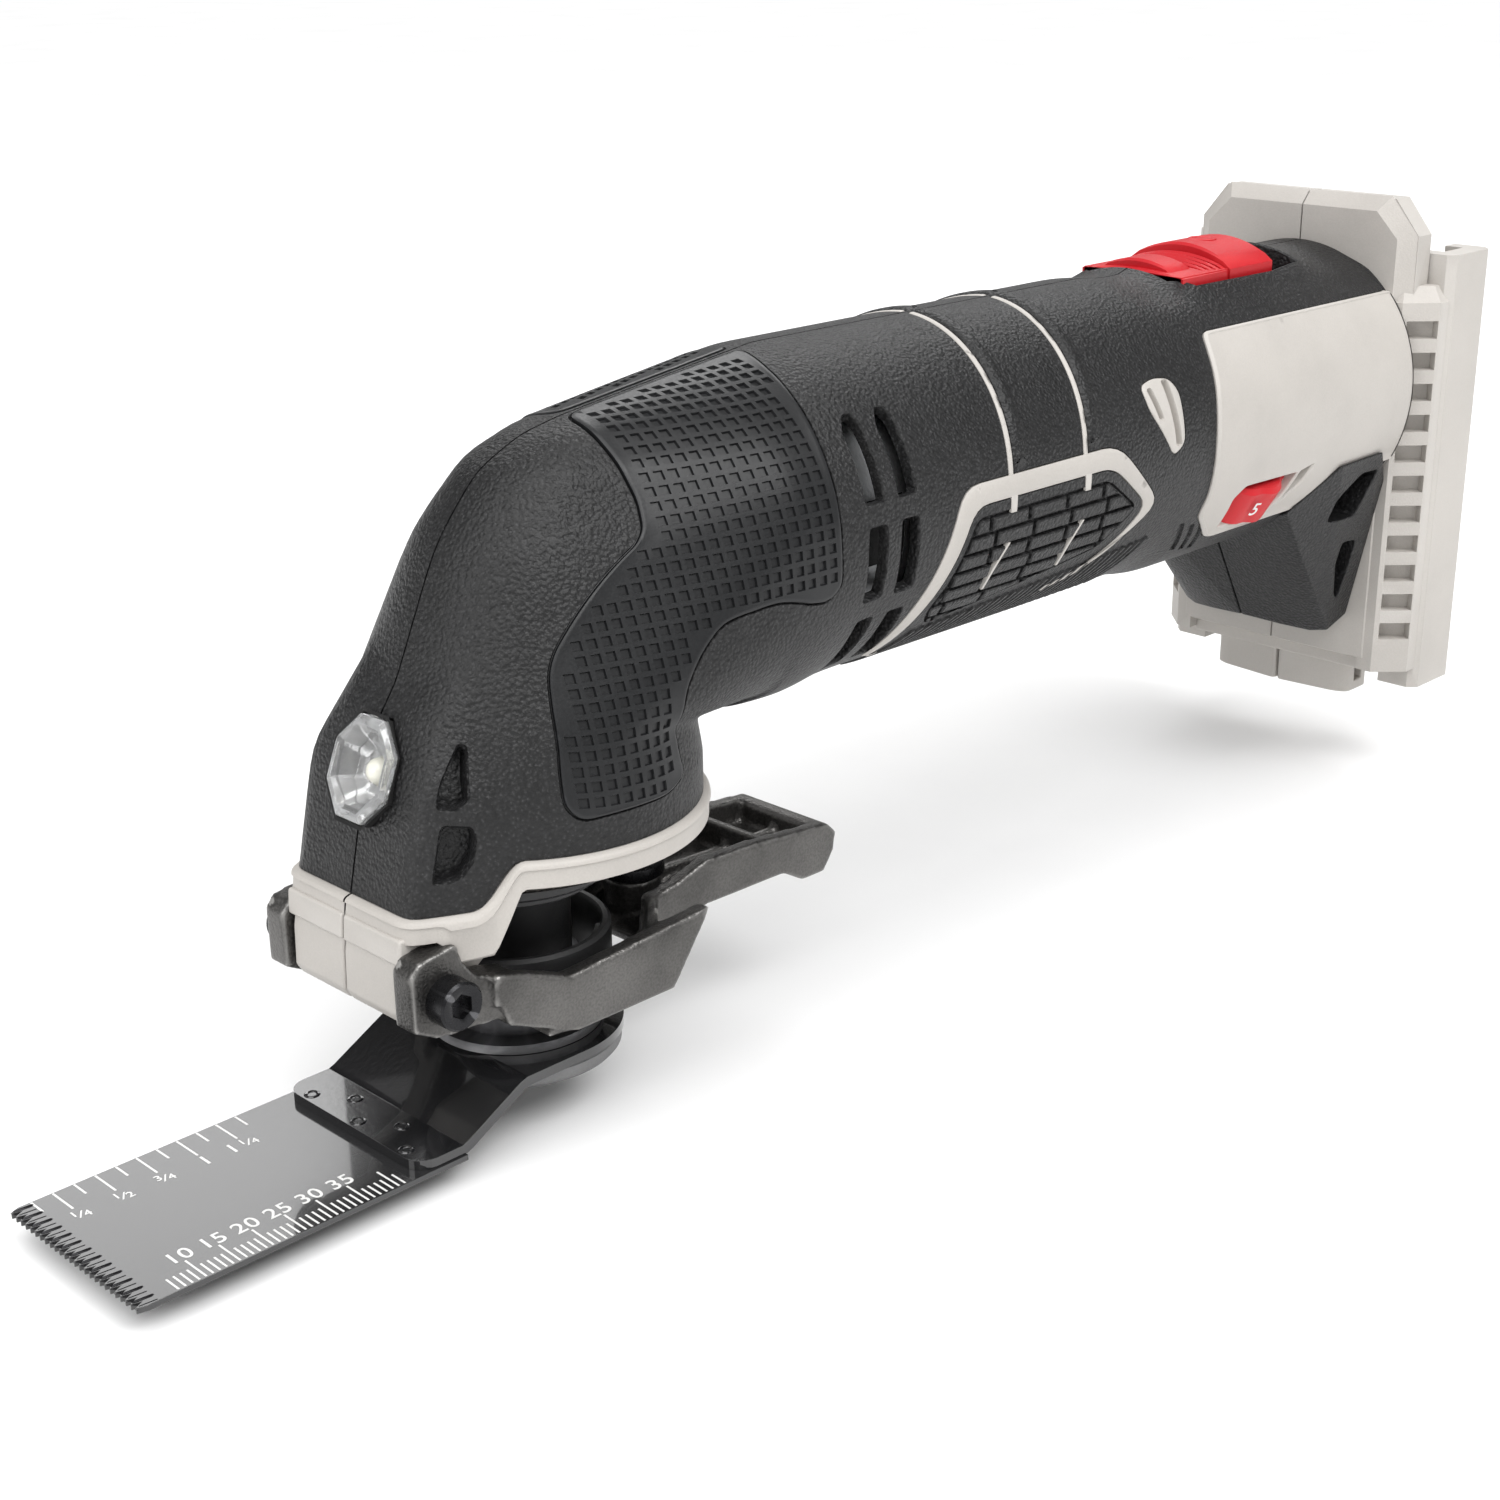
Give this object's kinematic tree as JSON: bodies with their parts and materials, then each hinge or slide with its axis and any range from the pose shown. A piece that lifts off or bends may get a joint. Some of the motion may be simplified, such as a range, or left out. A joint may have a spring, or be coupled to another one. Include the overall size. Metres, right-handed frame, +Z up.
{
  "type": "cordless oscillating multi-tool",
  "caption": "Cordless oscillating multi-tool, bare, with elbow head, rubber grips, tool-free blade clamp lever and a plunge-cut blade",
  "frame": {"origin": "on the spindle axis, on the seat that the blade arm is clamped against", "axes": "+X forward to the blade's teeth, +Y to the tool's left side, +Z up along the spindle towards the motor"},
  "size_m": [0.2935, 0.057, 0.1095],
  "materials": {
    "grey_shell": "warm light grey moulded nylon, fine spark texture",
    "black_rubber": "black overmoulded rubber, pebble grain",
    "grip_rubber": "smooth black rubber with a checkered grid",
    "red_plastic": "red moulded plastic, satin",
    "black_plastic": "black moulded plastic",
    "clear_lens": "clear faceted lens",
    "led_white": "white lamp",
    "board_green": "green circuit board",
    "cast_aluminium": "cast aluminium",
    "dark_steel": "dark oiled steel",
    "black_steel": "black oxide steel screws",
    "bright_steel": "ground steel",
    "ferrite": "dark ferrite",
    "graphite": "carbon brush",
    "lamination_steel": "varnished lamination stack",
    "copper": "copper bars",
    "contact_brass": "plated spring brass",
    "wire_insulation": "red and black wire insulation",
    "gunmetal_casting": "gunmetal cast zinc with a sparkle coat",
    "spring_steel": "spring wire",
    "sintered_steel": "grey sintered steel, matt",
    "black_enamel": "glossy black enamel",
    "blade_steel": "satin grey blade with printed white ruler marks"
  },
  "bodies": {
    "tool_body": {"housing_left": "grey_shell", "housing_right": "grey_shell", "overmould_left": "black_rubber", "overmould_right": "black_rubber", "grip_pad_left": "grip_rubber", "grip_pad_right": "grip_rubber", "tread_pad_left": "black_rubber", "tread_pad_right": "black_rubber", "boot_left": "black_rubber", "boot_right": "black_rubber", "nose_collar": "grey_shell", "collar_screws": "black_steel", "housing_screws": "black_steel", "led_lens": "clear_lens", "led": "led_white", "led_board": "board_green", "gear_case": "cast_aluminium", "spindle_upper_bearing": "bright_steel", "spindle_lower_bearing": "bright_steel", "retaining_ring": "dark_steel", "dust_seal": "black_rubber", "motor_can": "bright_steel", "magnets": "ferrite", "motor_end_cap": "black_plastic", "brushes": "graphite", "shaft_front_bearing": "bright_steel", "shaft_rear_bearing": "bright_steel", "switch_block": "black_plastic", "control_board": "board_green", "heat_sink": "cast_aluminium", "terminal_block": "black_plastic", "terminal_blades": "contact_brass", "lead_wires": "wire_insulation", "pivot_screws": "black_steel", "lever_spring": "spring_steel"},
    "spindle_body": {"spindle": "dark_steel", "drive_fork": "bright_steel", "clamp_spring": "spring_steel"},
    "clamp_body": {"clamp_rod": "bright_steel", "accessory_holder": "sintered_steel", "blade_arm": "black_enamel", "blade_plate": "blade_steel", "blade_rivets": "dark_steel"},
    "lever_body": {"clamp_lever": "gunmetal_casting", "release_ring": "black_plastic"},
    "rotor_body": {"armature": "lamination_steel", "commutator": "copper", "motor_shaft": "bright_steel", "cooling_fan": "black_plastic", "counterweight": "bright_steel", "eccentric_hub": "bright_steel", "eccentric_bearing": "bright_steel"},
    "switch_body": {"switch_slider": "red_plastic"},
    "dial_body": {"speed_dial": "red_plastic"}
  },
  "joints": [
    {"name": "spindle_swing", "type": "hinge", "parent": "tool_body", "child": "spindle_body", "pos_m": [0, 0, 0.03], "axis": [0, 0, 1], "range_deg": [-1.6, 1.6]},
    {"name": "clamp_drop", "type": "slide", "parent": "spindle_body", "child": "clamp_body", "axis": [0, 0, 1], "range_m": [-0.003, 0], "stiffness_N_per_m": 150, "springref_m": 0.01, "deforming": ["clamp_spring"]},
    {"name": "lever_squeeze", "type": "hinge", "parent": "tool_body", "child": "lever_body", "pos_m": [0.025, 0, 0.019], "axis": [0, 1, 0], "range_deg": [0, 10], "stiffness_Nm_per_rad": 1.5, "springref_deg": -11.46, "deforming": ["lever_spring"]},
    {"name": "motor_spin", "type": "hinge", "parent": "tool_body", "child": "rotor_body", "pos_m": [-0.09, 0, 0.068], "axis": [1, 0, 0], "continuous": true},
    {"name": "power_slide", "type": "slide", "parent": "tool_body", "child": "switch_body", "axis": [1, 0, 0], "range_m": [-0.007, 0]},
    {"name": "speed_turn", "type": "hinge", "parent": "tool_body", "child": "dial_body", "pos_m": [-0.154, 0.0136, 0.0595], "axis": [0, 0.5299, 0.848], "range_deg": [-200, 50]}
  ],
  "couplings": [
    {"joint": "clamp_drop", "follows": "lever_squeeze", "m_per_rad": -0.0171}
  ]
}
